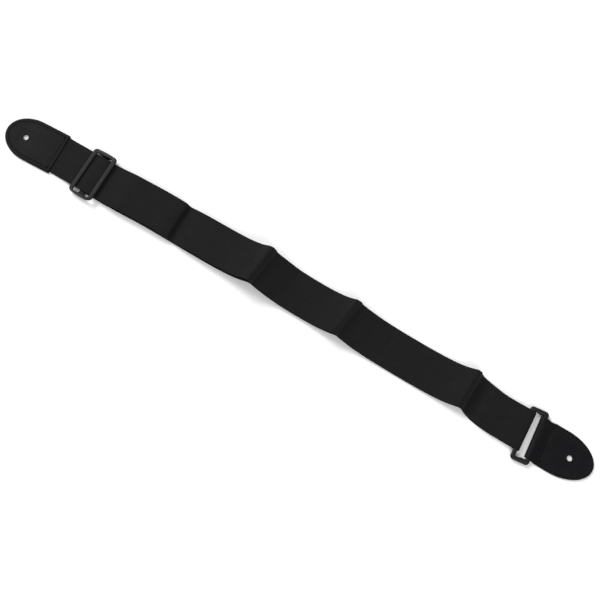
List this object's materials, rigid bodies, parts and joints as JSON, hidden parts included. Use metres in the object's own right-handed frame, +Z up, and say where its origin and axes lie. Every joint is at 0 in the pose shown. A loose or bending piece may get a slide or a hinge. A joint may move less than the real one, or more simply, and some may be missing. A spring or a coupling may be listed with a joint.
{
  "type": "guitar strap",
  "caption": "Adjustable webbing shoulder strap with a tri-glide slider, a rectangular ring and two stitched leather ends with strap button holes.",
  "frame": {"origin": "bottom centre of the strap's bounding box as it lies flat at its shortest setting, on the surface it rests on", "axes": "+X along the strap from leather end A, beside the slider, to leather end B, beside the ring; +Z up; +Y across the strap"},
  "size_m": [0.836, 0.072, 0.0314],
  "materials": {
    "leather": "smooth black leather with a fine grain and a satin finish",
    "leather_back": "black split leather, matte",
    "webbing": "black woven synthetic webbing, slightly shiny",
    "thread": "black bonded sewing thread",
    "slider_plastic": "black moulded nylon with a fine matte texture",
    "ring_plastic": "black moulded nylon with a fine matte texture"
  },
  "bodies": {
    "end_a": {"end_a_front_leather": "leather", "end_a_back_leather": "leather_back", "end_a_edge_stitching": "thread", "end_a_seam_stitching": "thread", "webbing_upper_run": "webbing"},
    "slider": {"slider": "slider_plastic", "webbing_slider_loop": "webbing", "slider_loop_stitching": "thread"},
    "turn": {"webbing_ring_turn": "webbing", "webbing_lower_run": "webbing"},
    "ring": {"ring": "ring_plastic"},
    "end_b": {"end_b_leather": "leather", "end_b_edge_stitching": "thread", "end_b_tunnel_stitching": "thread"}
  },
  "joints": [
    {"name": "slider_slide", "type": "slide", "parent": "end_a", "child": "slider", "axis": [1, 0, 0], "range_m": [0, 1.135], "deforming": ["webbing_upper_run", "webbing_lower_run"]},
    {"name": "turn_slide", "type": "slide", "parent": "end_a", "child": "turn", "axis": [1, 0, 0], "range_m": [0, 0.5675]},
    {"name": "ring_swing", "type": "hinge", "parent": "turn", "child": "ring", "pos_m": [0.32442, -0.00105, 0.0043], "axis": [0.1132, -0.9936, 0], "range_deg": [-90, 90]},
    {"name": "end_b_swing", "type": "hinge", "parent": "ring", "child": "end_b", "pos_m": [0.3428, 0.00105, 0.0043], "axis": [0.1132, -0.9936, 0], "range_deg": [-90, 90]}
  ],
  "couplings": [
    {"joint": "turn_slide", "follows": "slider_slide", "ratio": 0.5}
  ]
}
